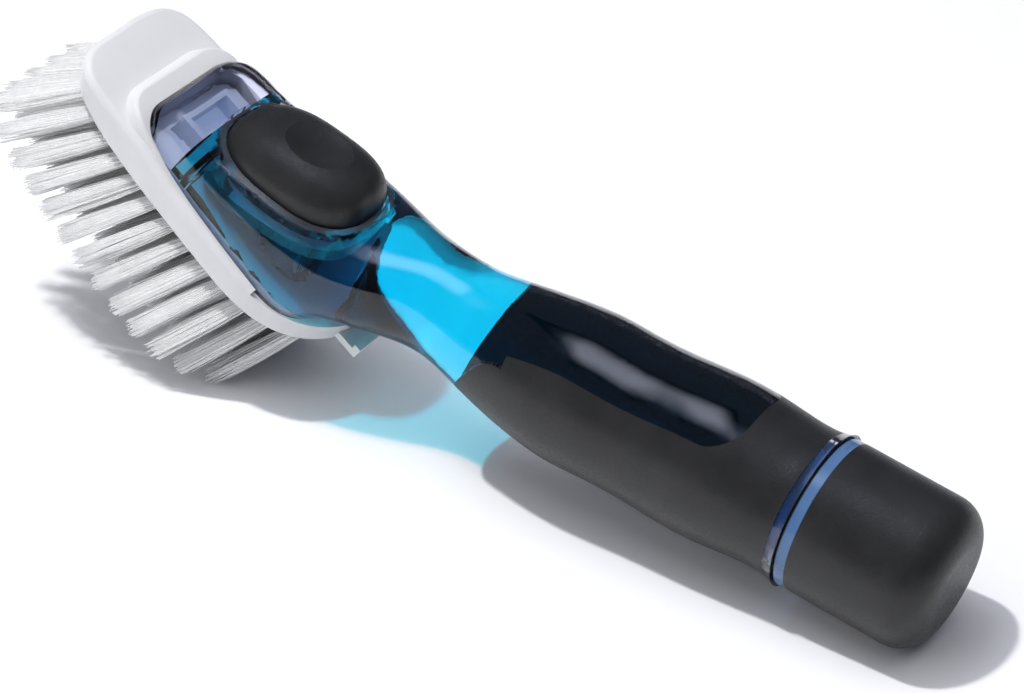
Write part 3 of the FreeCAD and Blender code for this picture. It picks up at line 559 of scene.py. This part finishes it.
def soap_blank():
    """The soap as it would be without the pump: rings of points where rays from its spine meet the walls."""
    walls = joined_tree(["reservoir_shell", "base_plate"])
    stations, forward = soap_stations(walls)
    angles = [2 * math.pi * k / SOAP_RAYS for k in range(SOAP_RAYS)]
    vertices = []
    for middle, upward in stations:
        rays = [across * math.sin(angle) + upward * math.cos(angle) for angle in angles]
        reach = [walls.ray_cast(middle, ray, SIDE_SIGHT)[3] or 0.0 for ray in rays]
        vertices.extend(middle + ray * (radius + SOAP_PRESS) for ray, radius in zip(rays, fill_gaps(reach)))
    for k in range(len(vertices) - SOAP_RAYS, len(vertices)):
        vertices[k] += forward * (SOAP_CLEARANCE + SOAP_PRESS)
    mesh = bpy.data.meshes.new("soap_blank")
    mesh.from_pydata(vertices, [], tube_faces(len(stations), SOAP_RAYS))
    mesh.update()
    return put("soap_blank", mesh)


def plug(name, points):
    """A solid hull round some points, drawn in by the soap's press."""
    middle = sum(points, Vector()) / len(points)
    working = bmesh.new()
    for point in points:
        working.verts.new(point + (middle - point).normalized() * SOAP_PRESS)
    bmesh.ops.convex_hull(working, input=working.verts)
    bmesh.ops.delete(working, geom=[v for v in working.verts if not v.link_faces], context="VERTS")
    mesh = bpy.data.meshes.new(name)
    working.to_mesh(mesh)
    working.free()
    return put(name, mesh)


def pump_plugs():
    """The button's well and the pump's barrel as solid plugs that the soap flows round."""
    middle = wand_point(*WELL_MIDDLE) + press.cross(across) * PUMP_SETBACK
    points = [vertex.co.copy() for vertex in frame["nodes"]["pump_housing"].data.vertices]
    depths = [(point - middle).dot(press) for point in points]
    radii = [(point - middle - press * depth).length for point, depth in zip(points, depths)]
    underside = max(depth for depth, radius in zip(depths, radii) if radius > PUMP_REACH)
    well = [point for point, depth in zip(points, depths) if depth < underside + SOAP_PRESS]
    well += [point - press * WELL_HEADROOM for point in well]
    barrel = [point for point, depth, radius in zip(points, depths, radii)
              if depth > underside - SOAP_PRESS and radius < PUMP_REACH]
    barrel = [point + press * way for point in barrel for way in (-PLUG_OVERLAP, PLUG_OVERLAP)]
    return [plug("well_plug", well), plug("barrel_plug", barrel)]


def soap(material):
    """Soap that fills the clear handle up to its walls and stands round the pump."""
    blank = soap_blank()
    plugs = pump_plugs()
    for each in plugs:
        cut = blank.modifiers.new(each.name, "BOOLEAN")
        cut.operation = "DIFFERENCE"
        cut.solver = "EXACT"
        cut.object = each
    done = bpy.data.meshes.new_from_object(blank.evaluated_get(bpy.context.evaluated_depsgraph_get()))
    vertices = [vertex.co.copy() for vertex in done.vertices]
    faces = [tuple(face.vertices) for face in done.polygons]
    for each in [blank] + plugs:
        bpy.data.objects.remove(each)
    piece = new_piece("soap_fill", vertices, faces, material, "wand")
    piece.data.set_sharp_from_angle(angle=math.radians(SOAP_EDGE_ANGLE))
    piece.visible_diffuse = False


# Stage

def camera():
    data = bpy.data.cameras.new("camera")
    made = put("camera", data)
    azimuth = math.radians(CAMERA_AZIMUTH)
    elevation = math.radians(CAMERA_ELEVATION)
    level = math.cos(elevation)
    back = Vector((math.sin(azimuth) * level, -math.cos(azimuth) * level, math.sin(elevation)))
    looking = (-back).to_track_quat("-Z", "Y").to_matrix().to_4x4()
    stand = Matrix.Translation(CAMERA_AIM + back * CAMERA_DISTANCE) @ looking
    turn = Matrix.Rotation(pitch - math.radians(PHOTO_PITCH), 4, "Y")
    made.matrix_world = Matrix.Translation(seam) @ turn @ stand
    data.sensor_width = SENSOR_WIDTH
    data.lens = FOCAL_PIXELS / IMAGE_WIDTH * SENSOR_WIDTH
    data.clip_start = CAMERA_NEAR
    data.clip_end = CAMERA_FAR
    bpy.context.scene.camera = made


def stand_off(thing, way, distance):
    """Set a lamp or card at a distance from the seam, facing it."""
    way = way.normalized()
    thing.location = seam + way * distance
    thing.rotation_mode = "QUATERNION"
    thing.rotation_quaternion = way.to_track_quat("Z", "Y")


def lamp(name, kind, power, way, distance):
    """A lamp that lights surfaces but is not itself mirrored or seen through the plastic."""
    data = bpy.data.lights.new(name, kind)
    data.energy = power
    made = put(name, data)
    made.visible_glossy = False
    made.visible_transmission = False
    stand_off(made, way, distance)
    return data


def lights():
    """A small lamp overhead on the left throws the shadow; two broad ones lift it and the near side."""
    lamp("key", "POINT", KEY_POWER, KEY_DIRECTION, KEY_DISTANCE).shadow_soft_size = KEY_RADIUS
    lamp("fill", "AREA", FILL_POWER, FILL_DIRECTION, FILL_DISTANCE).size = FILL_SIZE
    lamp("front", "AREA", FRONT_POWER, FRONT_DIRECTION, FRONT_DISTANCE).size = FRONT_SIZE


def sheet(name, width, depth, material):
    """A flat rectangle of the stage."""
    x, y = width / 2, depth / 2
    mesh = bpy.data.meshes.new(name)
    mesh.from_pydata([(-x, -y, 0), (x, -y, 0), (x, y, 0), (-x, y, 0)], [], [(0, 1, 2, 3)])
    mesh.materials.append(material)
    made = put(name, mesh)
    return made


def fade_of(tree, split, axis):
    """Brightness across the card: full in the middle and nothing at two edges."""
    ramp = add(tree, "ShaderNodeValToRGB")
    ramp.color_ramp.interpolation = "EASE"
    for end in ramp.color_ramp.elements:
        end.color = grey(0)
    for position in SOFTBOX_BRIGHT_SHARES:
        ramp.color_ramp.elements.new(position).color = grey(1)
    join(tree, split, axis, ramp, "Fac")
    return ramp.outputs["Color"]


def place_split(tree):
    """The three parts of the place on a card, or of the direction in the sky."""
    place = add(tree, "ShaderNodeTexCoord")
    split = add(tree, "ShaderNodeSeparateXYZ")
    join(tree, place, "Generated", split, "Vector")
    return split


def softbox():
    """A glowing card overhead, bright in the middle and fading to its edges."""
    material, tree, out = new_material("softbox_glow")
    split = place_split(tree)
    both = product_of(tree, fade_of(tree, split, "X"), fade_of(tree, split, "Y"))
    shader = add(tree, "ShaderNodeEmission", Color=SOFTBOX_COLOUR)
    tree.links.new(product_of(tree, both, SOFTBOX_GLOW), shader.inputs["Strength"])
    join(tree, shader, "Emission", out, "Surface")
    card = sheet("softbox", *SOFTBOX_SIZE, material)
    card.visible_shadow = False
    card.visible_camera = False
    stand_off(card, SOFTBOX_DIRECTION, SOFTBOX_DISTANCE)


def sky():
    """A dim studio: brighter overhead, dark at the horizon."""
    world = bpy.data.worlds.new("studio")
    bpy.context.scene.world = world
    world.use_nodes = True
    tree = world.node_tree
    tree.nodes.clear()
    out = tree.nodes.new("ShaderNodeOutputWorld")
    ramp = ramp_of(tree, place_split(tree), "Z", (SKY_HORIZON, SKY_TOP), (0.0, 1.0))
    background = add(tree, "ShaderNodeBackground")
    join(tree, ramp, "Color", background, "Color")
    join(tree, background, "Background", out, "Surface")


def floor():
    material, tree, out = new_material("floor_white")
    shader = add(tree, "ShaderNodeBsdfDiffuse", Color=FLOOR_COLOUR)
    join(tree, shader, "BSDF", out, "Surface")
    sheet("floor", FLOOR_SIZE, FLOOR_SIZE, material)


dress()
bristles(nylon("nylon"))
soap(liquid_soap("dish_soap"))
camera()
lights()
softbox()
sky()
floor()
bpy.context.scene.view_settings.view_transform = "Standard"
